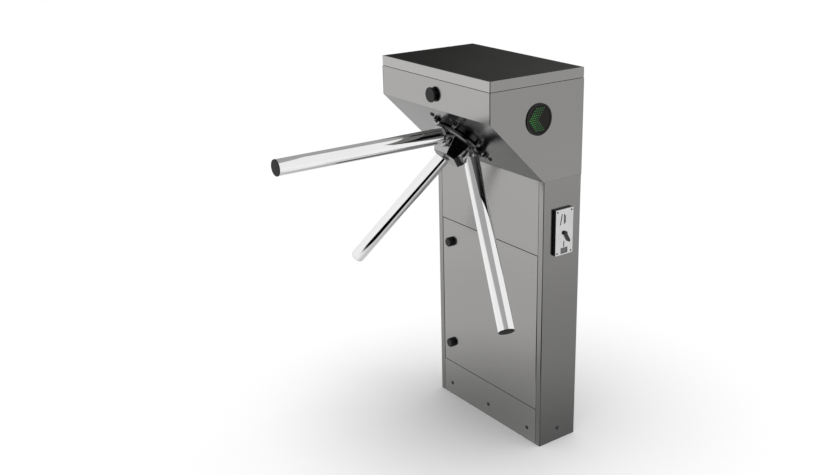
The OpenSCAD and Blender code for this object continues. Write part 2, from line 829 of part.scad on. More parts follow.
// One ring of each bearing, with the groove for the balls
module bearing_rings(low, high) {
  for (w = [front_bearing, rear_bearing]) on_face(-w - bearing_w) rotate_extrude() difference() {
    translate([low, 0]) square([high - low, bearing_w]);
    translate([ball_pitch, bearing_w / 2]) circle(r = race_r, $fn = fine);
  }
}

module bearing_outer_rings() {
  color(silver) bearing_rings(ball_pitch + race_gap, bearing_r);
}

module bearing_inner_rings() {
  color(silver) bearing_rings(shaft_r + seat_c / 5, ball_pitch - race_gap);
}

module bearing_balls() {
  color(chrome) for (w = [front_bearing, rear_bearing], k = [0:ball_count - 1])
    on_face(-w - bearing_w / 2) rotate([0, 0, 360 / ball_count * k])
      translate([ball_pitch, 0, 0]) sphere(r = ball_r, $fn = fine);
}

// Disc on the shaft with six notches for the pawls
module index_disc() {
  color(zinc) difference() {
    union() {
      on_face(-disc_back) cylinder(r = disc_r, h = disc_t);
      on_face(-disc_front) cylinder(r = disc_hub_r, h = disc_t / 2);
    }
    on_face(-disc_back - over) cylinder(r = shaft_r + seat_c / 5, h = 2 * disc_t + over);
    for (k = [0:5]) on_face(-disc_back - over) rotate([0, 0, 60 * k])
      translate([disc_r - notch_d, -notch_w / 2, 0]) cube([2 * notch_d, notch_w, disc_t + 2 * over]);
  }
}

// Lever with a nose for the disc's notch and a round tail in the plunger's fork
module pawl(side) {
  color(silver) on_face(-disc_back + (disc_t - pawl_t) / 2) mirror([side > 0 ? 0 : 1, 0, 0])
    translate([pawl_pivot_x, -pawl_l, 0]) difference() {
      union() {
        cylinder(r = pawl_eye_r, h = pawl_t);
        translate([-nose_w / 2, 0, 0]) cube([nose_w, pawl_l + nose_lift + nose_w / 2, pawl_t]);
        translate([nose_x - pawl_pivot_x, pawl_l + nose_lift - nose_w / 2, 0])
          cube([pawl_pivot_x - nose_x, nose_w, pawl_t]);
        translate([-tail_knob_r * 0.7, -tail_l, 0]) cube([tail_knob_r * 1.4, tail_l, pawl_t]);
        translate([0, -tail_l, 0]) cylinder(r = tail_knob_r, h = pawl_t, $fn = fine);
      }
      translate([0, 0, -over]) cylinder(r = pawl_pin_r + run_c, h = pawl_t + 2 * over);
    }
}

module pawl_left() { pawl(-1); }
module pawl_right() { pawl(1); }

// Solenoid core with a fork round the pawl's tail
module plunger(side) {
  w = -(disc_front + disc_back) / 2;
  base = fork_w * 0.3;
  color(silver) on_face(w) mirror([side > 0 ? 0 : 1, 0, 0])
    translate([pawl_pivot_x, -pawl_l - tail_l, 0]) difference() {
      union() {
        translate([-fork_slot / 2 - fork_jaw, -fork_w / 2 - base, -fork_w / 2])
          cube([fork_slot + 2 * fork_jaw, fork_w + base, fork_w]);
        translate([fork_slot / 2, 0, 0]) rotate([0, 90, 0])
          cylinder(r = plunger_r, h = plunger_out - pawl_pivot_x - fork_slot / 2);
      }
      translate([-fork_slot / 2, -fork_w / 2, -fork_w]) cube([fork_slot, 2 * fork_w, 2 * fork_w]);
    }
}

module plunger_left() { plunger(-1); }
module plunger_right() { plunger(1); }

module solenoid_coils() {
  w = (disc_front + disc_back) / 2;
  rise = coil_w / 2 + w - housing_back;
  color(gunmetal) for (s = [-1, 1]) on_face(-w - coil_w / 2) mirror([s > 0 ? 0 : 1, 0, 0])
    translate([coil_from, -pawl_l - tail_l, 0]) difference() {
      translate([0, -coil_w / 2, 0]) cube([coil_l, coil_w, rise]);
      translate([-over, 0, coil_w / 2]) rotate([0, 90, 0])
        cylinder(r = plunger_r + run_c, h = coil_l + 2 * over);
    }
}

// Rotary damper on three legs behind the index disc
module shaft_damper() {
  back = damper_front + plate_t * 1.5;
  color(black) difference() {
    union() {
      on_face(-damper_back) cylinder(r = damper_r, h = damper_back - damper_front);
      for (a = leg_angles) on_face(-back) rotate([0, 0, a]) {
        translate([damper_r / 2, -leg_w / 2, 0]) cube([leg_d - damper_r / 2, leg_w, plate_t]);
        translate([leg_d, 0, 0]) cylinder(r = leg_r, h = back - housing_back);
      }
    }
    on_face(-damper_back - over) cylinder(r = shaft_tail_r + run_c, h = damper_back);
  }
}

module head_lock_bush() {
  color(black) difference() {
    on_front(0, head_front_y, lock_z) {
      cylinder(r = lock_disc_r, h = lock_disc_t);
      translate([0, 0, -lock_barrel_l]) cylinder(r = lock_barrel_r, h = lock_barrel_l + over);
    }
    on_front(0, head_front_y, lock_z) translate([0, 0, -lock_barrel_l - over])
      cylinder(r = spindle_r + run_c, h = lock_barrel_l + lock_disc_t + 2 * over);
  }
}

// Turned knob with its neck and spindle
module head_lock_knob() {
  rim = lock_knob_t / 6;
  neck = lock_disc_t + seat_c * 2;
  knob = lock_disc_t + lock_neck;
  tail = -lock_barrel_l - cam_t;
  color(black) on_front(0, head_front_y, lock_z) rotate_extrude()
    polygon([[0, tail], [spindle_r, tail], [spindle_r, neck], [lock_barrel_r, neck],
      [lock_barrel_r, knob], [lock_knob_r - rim, knob], [lock_knob_r, knob + rim],
      [lock_knob_r, lock_out - rim], [lock_knob_r - rim, lock_out], [0, lock_out]]);
}

module head_lock_cam() {
  color(zinc) on_front(0, lock_cam_y + seat_c * 2, lock_z)
    lock_cam(lock_cam_l, cam_w, cam_t, spindle_r);
}

// Steel tray, open below, with a recess for the black panel and a hook for the lock's cam
module lid_tray() {
  low = lid_z + lid_seam / 2;
  deep = total_h - inset_t - sheet_t - low;
  color(steel) {
    translate([0, rear_y - head_d / 2, low]) difference() {
      linear_extrude(total_h - low) round_rect(body_w, head_d, fold_r);
      translate([0, 0, -over]) linear_extrude(deep + over)
        square([body_w - 2 * sheet_t, head_d - 2 * sheet_t], center = true);
      translate([0, 0, total_h - inset_t - low]) linear_extrude(inset_t + over)
        square([body_w - 2 * inset_edge, head_d - 2 * inset_edge], center = true);
    }
    lid_hook(low + sheet_t);
  }
}

// Bar that hangs beside the turned cam, with a foot under it
module lid_hook(top) {
  far = lock_cam_l + cam_w * 0.3;
  near = cam_w * 0.75;
  foot = lock_z - cam_w / 2 - hook_gap;
  block([far, lock_cam_y - hook_t, foot - hook_t], [far + hook_t * 2, lock_cam_y, top]);
  block([near, lock_cam_y - hook_t, foot - hook_t], [far + hook_t, lock_cam_y, foot]);
  block([far, head_front_y + sheet_t / 2, top - hook_t / 2],
    [far + hook_t * 2, lock_cam_y, top + hook_t]);
}

module lid_top_panel() {
  gap = 2 * (inset_edge + seat_c);
  color(black) translate([0, rear_y - head_d / 2, total_h - inset_t]) linear_extrude(inset_t)
    square([body_w - gap, head_d - gap], center = true);
}

// Knuckles of both hinges: the fixed leaves have the outer two, the lid's flaps the middle one
module hinge_knuckles(low_share, high_share) {
  translate([(low_share - 0.5) * hinge_l, barrel_y, barrel_z]) rotate([0, 90, 0]) difference() {
    cylinder(r = knuckle_r, h = (high_share - low_share) * hinge_l, $fn = fine);
    translate([0, 0, -over]) cylinder(r = hinge_pin_r + run_c, h = hinge_l + 2 * over, $fn = fine);
  }
}

module hinge_leaf(low_share, high_share, up) {
  low = up ? barrel_z + knuckle_r / 3 : barrel_z - leaf_h;
  high = up ? total_h - inset_t : barrel_z - knuckle_r / 3;
  x = [(low_share - 0.5) * hinge_l, (high_share - 0.5) * hinge_l];
  difference() {
    block([x[0], rear_y, min(low, high)], [x[1], rear_y + leaf_t, max(low, high)]);
    translate([-hinge_l, barrel_y, barrel_z]) rotate([0, 90, 0])
      cylinder(r = hinge_pin_r + leaf_t / 2, h = 2 * hinge_l, $fn = fine);
  }
}

module lid_hinge_leaves() {
  color(gunmetal) for (s = [-1, 1]) translate([s * hinge_x, 0, 0]) {
    for (e = [[0, 0.3], [0.7, 1]]) {
      hinge_knuckles(e[0], e[1]);
      hinge_leaf(e[0], e[1], false);
    }
    block([-hinge_l / 2, rear_y, barrel_z - leaf_h],
      [hinge_l / 2, rear_y + leaf_t, barrel_z - 2 * knuckle_r]);
  }
}

module lid_hinge_flaps() {
  color(gunmetal) for (s = [-1, 1]) translate([s * hinge_x, 0, 0]) {
    hinge_knuckles(0.31, 0.69);
    hinge_leaf(0.31, 0.69, true);
    block([-hinge_l / 2, rear_y, barrel_z + 2 * knuckle_r],
      [hinge_l / 2, rear_y + leaf_t, total_h - inset_t]);
  }
}

module lid_hinge_pins() {
  color(silver) for (s = [-1, 1]) translate([s * hinge_x - hinge_l / 2, barrel_y, barrel_z])
    rotate([0, 90, 0]) cylinder(r = hinge_pin_r, h = hinge_l, $fn = fine);
}

module on_displays() {
  for (s = [-1, 1]) on_side(s, display_at) children();
}

module display_rims() {
  color(black) on_displays() difference() {
    cylinder(r = display_r, h = display_proud);
    translate([0, 0, -over]) cylinder(r = lens_r + seat_c, h = display_proud + 2 * over);
  }
}

module display_lenses() {
  color(black) on_displays() translate([0, 0, -3 * sheet_t])
    cylinder(r = lens_r, h = 3 * sheet_t + display_proud / 2);
}

module display_lamps() {
  color("limegreen") for (s = [-1, 1]) on_side(s, display_at) for (p = lamp_spots)
    translate([p[0] * s, p[1], display_proud / 2]) cylinder(r = lamp_r, h = lamp_t, $fn = 16);
}

// Puts the children on the coin unit's face, +X to the rear, +Y up, +Z out
module on_coin(out = 0) {
  on_side(1, [coin_face_x - half_w + out, coin_y, coin_z]) children();
}

module coin_unit_body() {
  color(black) difference() {
    union() {
      block([half_w, coin_y - coin_w / 2, coin_z - coin_h / 2],
        [coin_x, coin_y + coin_w / 2, coin_z + coin_h / 2]);
      block([half_w - coin_neck_in, coin_y - coin_neck_w / 2, coin_z - coin_neck_h / 2],
        [coin_x, coin_y + coin_neck_w / 2, coin_z + coin_neck_h / 2]);
    }
    on_coin(-coin_plate_t - coin_body_d - coin_neck_in - over) {
      deep = coin_body_d + coin_neck_in + 2 * over;
      translate([entry_y, coin_h / 2 - entry_drop, deep / 2])
        cube([coin_slot_w + sheet_t, entry_h, deep], center = true);
      translate([entry_y, coin_h / 2 - lower_slot_drop, deep / 2])
        cube([coin_slot_w + sheet_t, lower_slot_h, deep], center = true);
      translate([0, coin_h / 2 - cup_drop, deep / 2]) cube([cup_w, cup_h, deep], center = true);
    }
    on_coin(-coin_plate_t - sheet_t * 2) translate([lever_at[0], lever_at[1], 0])
      cylinder(r = lever_pin_r + run_c, h = sheet_t * 3, $fn = fine);
    coin_screw_places() translate([0, 0, -coin_plate_t - coin_body_d + over])
      cylinder(r = coin_screw_r / 2 + seat_c, h = coin_body_d, $fn = fine);
  }
}

module coin_screw_places() {
  for (x = [-1, 1], y = [-1, 1]) on_coin()
    translate([x * (coin_w / 2 - coin_screw_in), y * (coin_h / 2 - coin_screw_in), 0]) children();
}

// Bright plate with both slots, the cup's mouth and two guide ribs beside the upper slot
module coin_plate() {
  lean = atan2(coin_w * 0.1, entry_h);
  color(silver) difference() {
    union() {
      on_coin(-coin_plate_t) linear_extrude(coin_plate_t) round_rect(coin_w, coin_h, rib_t);
      on_coin(-rib_t) translate([entry_y - coin_w * 0.16, coin_h / 2 - entry_drop, 0])
        rotate([0, 0, -lean]) translate([-rib_t / 2, -entry_h / 2, 0])
          cube([rib_t, entry_h, 2 * rib_t]);
      on_coin(-rib_t) translate([entry_y + coin_w * 0.08, coin_h / 2 - entry_drop, 0])
        translate([-rib_t / 2, -entry_h / 3, 0]) cube([rib_t, entry_h * 2 / 3, 2 * rib_t]);
    }
    on_coin(-coin_plate_t - over) {
      deep = coin_plate_t + 2 * over;
      translate([entry_y, coin_h / 2 - entry_drop, deep / 2])
        cube([coin_slot_w, entry_h * 0.9, deep], center = true);
      translate([entry_y, coin_h / 2 - lower_slot_drop, deep / 2])
        cube([coin_slot_w, lower_slot_h, deep], center = true);
      translate([0, coin_h / 2 - cup_drop, deep / 2]) cube([cup_w, cup_h, deep], center = true);
      translate([lever_at[0], lever_at[1], 0]) cylinder(r = lever_pin_r + run_c, h = deep, $fn = fine);
    }
    coin_screw_places() translate([0, 0, -coin_plate_t - over])
      cylinder(r = coin_screw_r / 2 + seat_c, h = coin_plate_t + 2 * over, $fn = fine);
  }
}

module coin_plate_screws() {
  color(black) coin_screw_places()
    dome_screw(coin_screw_r, coin_screw_r / 2, coin_screw_r / 2, coin_plate_t + coin_body_d / 2);
}

// Lever that turns on the plate and gives the coin back
module coin_return_lever() {
  color(zinc) on_coin(seat_c) translate([lever_at[0], lever_at[1], 0]) {
    cylinder(r = lever_r, h = lever_t, $fn = fine);
    rotate([0, 0, -60]) {
      translate([0, -lever_r * 0.6, 0]) cube([lever_l - lever_r * 0.6, lever_r * 1.2, lever_t]);
      translate([lever_l - lever_r * 0.6, 0, 0]) cylinder(r = lever_r * 0.6, h = lever_t, $fn = fine);
    }
    translate([0, 0, -coin_plate_t - sheet_t])
      cylinder(r = lever_pin_r, h = coin_plate_t + sheet_t + over, $fn = fine);
  }
}

// Flap that hangs in the cup's mouth
module coin_return_flap() {
  top = coin_h / 2 - cup_drop + cup_h / 2;
  color(gunmetal) on_coin(-flap_t * 1.4) {
    translate([-cup_w / 2 + flap_gap, top - cup_h + flap_gap, -flap_t / 2])
      cube([cup_w - 2 * flap_gap, cup_h - 2 * flap_gap - flap_t, flap_t]);
    translate([flap_gap - cup_w / 2, top - flap_gap - flap_t, 0]) rotate([0, 90, 0])
      cylinder(r = flap_t * 0.7, h = cup_w - 2 * flap_gap, $fn = fine);
  }
}

module coin_validator() {
  x = half_w - coin_neck_in;
  color(gunmetal) difference() {
    block([x - validator_d, coin_y - coin_neck_w / 2, coin_z - coin_neck_h / 2],
      [x, coin_y + coin_neck_w / 2, coin_z + coin_neck_h / 2]);
    translate([x - validator_d * 0.4, coin_y + entry_y - coin_slot_w / 2, coin_z - coin_neck_h])
      cube([validator_d, coin_slot_w, coin_neck_h * 1.8]);
  }
}

// Open-topped box on the side frame, under the validator
module coin_box() {
  high = coin_z - coin_neck_h / 2 - box_gap;
  color(zinc) translate([inner_x - box_d, coin_y - coin_neck_w * 0.8, high - box_h]) difference() {
    cube([box_d, coin_neck_w * 1.6, box_h]);
    translate([box_t, box_t, box_t])
      cube([box_d - 2 * box_t, coin_neck_w * 1.6 - 2 * box_t, box_h]);
  }
}

// Board on four posts against the rear panel, with its larger components
module control_board() {
  y = rear_y - sheet_t - board_stand;
  z = lid_z - head_front_h - board_h / 2;
  color("darkgreen") {
    block([-board_w * 1.1, y - board_t, z], [-board_w * 0.1, y, z + board_h]);
    for (x = [0.2, 1], h = [0.1, 0.9]) on_front(-board_w * x, y + board_stand, z + board_h * h)
      cylinder(r = board_t * 2, h = board_stand, $fn = fine);
    for (k = [0:3]) block([-board_w * (0.95 - 0.2 * k), y - board_stand, z + board_h * 0.15],
      [-board_w * (0.83 - 0.2 * k), y - board_t, z + board_h * 0.4]);
    block([-board_w * 0.8, y - board_stand * 0.6, z + board_h * 0.55],
      [-board_w * 0.5, y - board_t, z + board_h * 0.8]);
  }
}

module power_supply() {
  z = door_z + door_h * 0.2;
  x = -supply_w * 1.5;
  color(silver) {
    block([x, rear_y - sheet_t - supply_d, z], [x + supply_w, rear_y - sheet_t, z + supply_h]);
    block([x + board_stand, rear_y - sheet_t * 3, z - board_stand],
      [x + supply_w - board_stand, rear_y - sheet_t, z + supply_h + board_stand]);
  }
}

base_plate();
side_frame_left();
side_frame_right();
cross_rails();
rear_panel();
upper_front_panel();
kick_plate();
foot_screws();
door_pivot_pins();
service_door();
door_knob_upper();
door_knob_lower();
door_cam_upper();
door_cam_lower();
head_cheek_left();
head_cheek_right();
head_front_panel();
slanted_panel();
slanted_panel_screws();
head_lock_bush();
head_lock_knob();
head_lock_cam();
lid_tray();
lid_top_panel();
lid_hinge_leaves();
lid_hinge_flaps();
lid_hinge_pins();
display_rims();
display_lenses();
display_lamps();
coin_unit_body();
coin_plate();
coin_plate_screws();
coin_return_lever();
coin_return_flap();
coin_validator();
coin_box();
hub_flange();
hub_flange_screws();
rotor_hub();
hub_bolt();
arm_level();
arm_left();
arm_right();
arm_end_caps();
main_shaft();
mechanism_plate();
bearing_housing();
bearing_outer_rings();
bearing_inner_rings();
bearing_balls();
index_disc();
pawl_left();
pawl_right();
plunger_left();
plunger_right();
solenoid_coils();
shaft_damper();
control_board();
power_supply();
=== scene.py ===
import bpy, bmesh, json, math
from mathutils import Matrix, Vector

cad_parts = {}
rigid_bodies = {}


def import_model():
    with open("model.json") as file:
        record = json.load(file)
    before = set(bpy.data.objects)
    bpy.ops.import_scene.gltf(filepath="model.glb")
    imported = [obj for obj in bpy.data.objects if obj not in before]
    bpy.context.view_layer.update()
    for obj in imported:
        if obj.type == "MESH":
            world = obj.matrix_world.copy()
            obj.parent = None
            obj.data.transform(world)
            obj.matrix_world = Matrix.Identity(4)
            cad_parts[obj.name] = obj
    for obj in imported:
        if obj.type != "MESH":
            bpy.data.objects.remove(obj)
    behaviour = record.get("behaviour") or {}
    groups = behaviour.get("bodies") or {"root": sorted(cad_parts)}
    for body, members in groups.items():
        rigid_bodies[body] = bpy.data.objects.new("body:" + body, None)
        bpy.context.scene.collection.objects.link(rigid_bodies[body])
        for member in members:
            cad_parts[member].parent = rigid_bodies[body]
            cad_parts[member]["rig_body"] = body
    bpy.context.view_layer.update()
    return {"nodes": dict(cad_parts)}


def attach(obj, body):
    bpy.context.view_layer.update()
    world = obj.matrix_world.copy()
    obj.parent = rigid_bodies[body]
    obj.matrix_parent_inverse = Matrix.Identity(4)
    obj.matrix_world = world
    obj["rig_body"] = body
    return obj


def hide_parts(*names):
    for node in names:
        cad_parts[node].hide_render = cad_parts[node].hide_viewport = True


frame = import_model()
nodes = frame["nodes"]
scene = bpy.context.scene
print("frame loaded:", len(nodes), "nodes")

# The camera stands where the photograph was taken from
cameraView = {
    "azimuth": 51.0355,      # degrees from -Y towards +X
    "elevation": 20.588,
    "target": (-0.00337, -0.038, 0.48045),
    "distance": 2.8408,
    "picture": (823, 475),   # width and height in pixels
    "focal": 1063.29,        # in those pixels, as the centre is
    "centre": (494.109, 253.179),
    "sensor": 36,
    "clipEnd": 60,
}


def makeCamera(view):
    width, height = view["picture"]
    data = bpy.data.cameras.new("camera")
    data.sensor_fit = "HORIZONTAL"
    data.sensor_width = view["sensor"]
    data.lens = view["focal"] / width * view["sensor"]
    data.shift_x = (width / 2 - view["centre"][0]) / width
    data.shift_y = (view["centre"][1] - height / 2) / width
    data.clip_end = view["clipEnd"]
    camera = bpy.data.objects.new("camera", data)
    scene.collection.objects.link(camera)
    turn, rise = math.radians(view["azimuth"]), math.radians(view["elevation"])
    back = Vector((math.sin(turn) * math.cos(rise), -math.cos(turn) * math.cos(rise), math.sin(rise)))
    camera.location = Vector(view["target"]) + back * view["distance"]
    camera.rotation_euler = back.to_track_quat("Z", "Y").to_euler()
    scene.camera = camera


makeCamera(cameraView)
print("camera set")


class Sum:                                     # a shader socket that takes plus, minus, times and divide
    def __init__(self, graph, socket):
        self.graph, self.socket = graph, socket

    def maths(self, operation, *values):
        return self.graph.node("Math", {"operation": operation}, dict(enumerate(values)))

    def __add__(self, other): return self.maths("ADD", self, other)
    def __radd__(self, other): return self.maths("ADD", other, self)
    def __sub__(self, other): return self.maths("SUBTRACT", self, other)
    def __rsub__(self, other): return self.maths("SUBTRACT", other, self)
    def __mul__(self, other): return self.maths("MULTIPLY", self, other)
    def __rmul__(self, other): return self.maths("MULTIPLY", other, self)
    def __truediv__(self, other): return self.maths("DIVIDE", self, other)
    def __pow__(self, other): return self.maths("POWER", self, other)
    def __abs__(self): return self.maths("ABSOLUTE", self)

    def most(self, other): return self.maths("MAXIMUM", self, other)

    def between(self, low, high):              # 0 below low, 1 above high
        return self.graph.node("MapRange", {"interpolation_type": "SMOOTHSTEP"},
                               {"Value": self, "From Min": low, "From Max": high})


class Graph:                                   # a node tree while it is put together
    def __init__(self, owner):
        owner.use_nodes = True
        self.owner, self.tree = owner, owner.node_tree
        self.tree.nodes.clear()

    def feed(self, target, sockets):
        for key, value in sockets.items():
            name = key.replace("_", " ") if isinstance(key, str) else key
            if isinstance(value, Sum):
                self.tree.links.new(value.socket, target.inputs[name])
            else:
                target.inputs[name].default_value = value

    def node(self, kind, settings=None, sockets=None, out=0):
        made = self.tree.nodes.new("ShaderNode" + kind)
        for key, value in (settings or {}).items():
            setattr(made, key, value)
        self.feed(made, sockets or {})
        return Sum(self, made.outputs[out]) if made.outputs else made

    def place(self):                           # object coordinates, whole and as x, y, z
        spot = self.node("TexCoord", out="Object")
        return [spot] + [self.node("SeparateXYZ", {}, {0: spot}, out=axis) for axis in range(3)]

    def stretched(self, spot, scale):
        return self.node("Mapping", {}, {"Vector": spot, "Scale": scale})

    def noise(self, spot, scale, detail=2.0, rough=0.5):
        return self.node("TexNoise", {}, {"Vector": spot, "Scale": scale, "Detail": detail, "Roughness": rough})

    def mix(self, share, first, second):
        return self.node("Mix", {"data_type": "RGBA"}, {0: share, 6: first, 7: second}, out=2)

    def colour(self, red, green, blue):
        return self.node("CombineColor", {}, {0: red, 1: green, 2: blue})

    def bump(self, height, depth, strength):
        return self.node("Bump", {}, {"Height": height, "Distance": depth, "Strength": strength})

    def seen(self):                            # 1 for camera, glossy and transmission rays
        camera, glossy, through = (self.node("LightPath", out=name) for name in
                                   ("Is Camera Ray", "Is Glossy Ray", "Is Transmission Ray"))
        return camera.most(glossy).most(through)


class Finish(Graph):                           # a material
    def __init__(self, name, **shader):
        super().__init__(bpy.data.materials.new(name))
        self.surface = self.node("BsdfPrincipled", {}, shader)
        self.node("OutputMaterial", {}, {0: self.surface})

    def done(self, **shader):
        self.feed(self.surface.socket.node, shader)
        return self.owner


def grey(level, warm=0.0):
    return (level * (1 + warm), level, level * (1 - warm), 1)


steelLook = {
    "roughness": 0.16,
    "cloudRough": 0.05,      # how far clouds and grain change the roughness
    "grainRough": 0.03,
    "grainScale": (8, 8, 900),
    "grainTone": 0.06,
    "grainDepth": 0.00001,
    "smudge": 0.04,
    "warm": (1.012, 1.0, 0.985),
    "heightShadeFrom": 0.15,        # heights between which a panel's painted shade lifts: it is darker towards the bottom, for the shaded floor it mirrors
    "heightShadeTo": 0.85,
    "footShadeTop": 0.17,        # height below which the sheet is painted darker still: painted shade of the shadowed floor it mirrors near the foot
    "sideX": 0.2185,         # where the flat of a side ends and its fold begins
    "sideBand": 0.0006,
    "lipFrom": 0.001,        # the side frame's front lip, behind the corner, painted lighter up to the front panels' level: painted light
    "lipTo": 0.0016,
    "cornerWidth": 0.0022,   # dark line along a folded corner, painted shade of the seam there
    "cornerDark": 0.75,
    "cornerGrey": 0.03,
}


def satinSteel(name, level, cornerY, heightShade=0.0, footShade=0.0, sides=1.0, lip=1.0, look=steelLook):
    made = Finish(name, Metallic=1.0)
    spot, x, y, z = made.place()
    grain = made.noise(made.stretched(spot, look["grainScale"]), 1.0, 3.0)
    cloud = made.noise(spot, 3.5, 3.0, 0.6)
    # Painted shade: the tone falls towards the bottom of a panel, for the shaded floor that the steel mirrors
    tone = level * (1 - heightShade + heightShade * z.between(look["heightShadeFrom"], look["heightShadeTo"]))
    # Painted shade: the tone falls again close to the floor, where the steel mirrors the floor's shadow
    tone = tone * (1 - footShade + footShade * z.between(0.0, look["footShadeTop"]))
    # Painted shade: where sides is below 1, as on the lid's edge, the faces beyond the fold are darker than the front
    tone = tone * (1 - (1 - sides) * abs(x).between(look["sideX"] - look["sideBand"], look["sideX"]))
    # Painted light: where lip is above 1, the side frame's front lip is lighter, up to the front panels' level
    tone = tone * (1 + (lip - 1) * (1 - y.between(cornerY + look["lipFrom"], cornerY + look["lipTo"])))
    tone = tone * (1 - look["grainTone"] / 2 + look["grainTone"] * grain)
    tone = tone * (1 - look["smudge"] + 2 * look["smudge"] * cloud)
    # Painted shade: a dark line along each folded corner, for the shade in the seam
    fromCorner = abs(abs(x) - look["sideX"]) + abs(y - cornerY)
    line = 1 - fromCorner.between(look["cornerWidth"] * 0.4, look["cornerWidth"])
    colour = made.colour(*[tone * share for share in look["warm"]])
    colour = made.mix(line * look["cornerDark"], colour, grey(look["cornerGrey"]))
    rough = look["roughness"] + look["cloudRough"] * (cloud - 0.5) + look["grainRough"] * grain
    return made.done(Base_Color=colour, Roughness=rough, Normal=made.bump(grain, look["grainDepth"], 0.3))


def chromeTube(dark=0.79, light=0.87, rough=0.04):
    made = Finish("chromeTube", Metallic=1.0)
    spot, x, y, z = made.place()
    cloud = made.noise(spot, 9.0, 3.0)
    return made.done(Base_Color=made.mix(cloud, grey(dark), grey(light)), Roughness=rough + 0.03 * cloud)


hubParts = {
    "base": 0.671,           # y + z on the slanted face
    "plateEnd": 0.0205,      # out along the hub's axis from there: round plate, taper, end face; the plate and end face are painted darker than the taper, as painted shade
    "plateBand": 0.0002,
    "taperEnd": 0.0653,
    "taperBand": 0.0003,
}


def darkCasting(name, level, plateShare=1.0, endShare=1.0, parts=hubParts):
    made = Finish(name, Metallic=1.0)
    spot, x, y, z = made.place()
    grit = made.noise(spot, 420.0, 2.0)
    cloud = made.noise(spot, 14.0, 3.0)
    along = (parts["base"] - y - z) * math.sqrt(0.5)
    offPlate = along.between(parts["plateEnd"] - parts["plateBand"], parts["plateEnd"] + parts["plateBand"])
    onEnd = along.between(parts["taperEnd"] - parts["taperBand"], parts["taperEnd"] + parts["taperBand"])
    # Painted shade: the round plate and the end face are darker than the taper of the same casting
    tone = level * (0.85 + 0.15 * cloud) * (1 - (1 - plateShare) * (1 - offPlate)) * (1 - (1 - endShare) * onEnd)
    return made.done(Base_Color=made.colour(tone, tone, tone), Roughness=0.10 + 0.06 * cloud,
                     Normal=made.bump(grit, 0.00003, 0.15))


def plainMetal(name, level, rough, warm=0.0, pits=0.3):
    made = Finish(name, Metallic=1.0)
    spot, x, y, z = made.place()
    cloud = made.noise(spot, 30.0, 3.0)
    grit = made.noise(spot, 700.0, 2.0)
    return made.done(Base_Color=made.mix(cloud, grey(level * 0.85, warm), grey(level, warm)),
                     Roughness=rough + 0.1 * (cloud - 0.5), Normal=made.bump(grit, 0.00003, pits))


def moulded(name, colour, rough, shine=0.5, depth=0.00003):
    made = Finish(name, Coat_Roughness=0.05, Specular_IOR_Level=shine)
    spot, x, y, z = made.place()
    cloud = made.noise(spot, 12.0, 3.0)
    grit = made.noise(spot, 900.0, 2.0)
    low = tuple(share * 0.8 for share in colour) + (1,)
    return made.done(Base_Color=made.mix(cloud, low, tuple(colour) + (1,)), Roughness=rough + 0.12 * (cloud - 0.5),
                     Normal=made.bump(grit, depth, 0.5))


def topBoard():
    made = Finish("blackTopBoard", Specular_IOR_Level=0.0)
    spot, x, y, z = made.place()
    # Lighter towards +x and +y across the top, with soft clouds
    diagonalTone = (0.5 + (x + y) * 1.1 + 0.25 * (made.noise(spot, 5.0, 3.0) - 0.5)).between(0.0, 1.0)
    pits = made.noise(spot, 500.0)
    return made.done(Base_Color=made.mix(diagonalTone, (0.022, 0.0215, 0.021, 1), (0.056, 0.055, 0.054, 1)),
                     Roughness=0.55 + 0.1 * pits, Normal=made.bump(pits, 0.00005, 0.5))


def circuitBoard():
    made = Finish("circuitBoard", Coat_Weight=0.4, Coat_Roughness=0.2)
    spot, x, y, z = made.place()
    cells = made.node("TexVoronoi", {"distance": "MANHATTAN", "feature": "F1"}, {"Vector": spot, "Scale": 160.0})
    track = cells.between(0.30, 0.34) * (1 - cells.between(0.40, 0.44))
    pad = 1 - cells.between(0.06, 0.10)
    colour = made.mix(track, (0.012, 0.09, 0.035, 1), (0.02, 0.16, 0.06, 1))
    return made.done(Base_Color=made.mix(pad, colour, (0.55, 0.5, 0.32, 1)), Roughness=0.4 - 0.1 * track)


lampLook = {
    "tipFrom": -0.145,       # the arrow is brighter where it points
    "tipTo": -0.075,
    "least": 0.18,
    "streakLeast": 0.35,
    "dark": (0.003, 0.02, 0.004, 1),
    "bright": (0.045, 0.48, 0.05, 1),
}


def litLamp(look=lampLook):
    made = Finish("litLamp", Base_Color=(0.004, 0.03, 0.006, 1), Roughness=0.4, Emission_Strength=1.0)
    spot, x, y, z = made.place()
    streak = made.noise(made.stretched(spot, (1, 1, 5)), 90.0, 2.0).between(0.4, 0.6)
    tip = 1 - y.between(look["tipFrom"], look["tipTo"])
    strength = (look["least"] + (1 - look["least"]) * tip) * (look["streakLeast"] + (1 - look["streakLeast"]) * streak)
    return made.done(Emission_Color=made.mix(strength, look["dark"], look["bright"]))


headCorner, columnCorner = -0.2295, -0.0615    # y where the fronts meet the sides
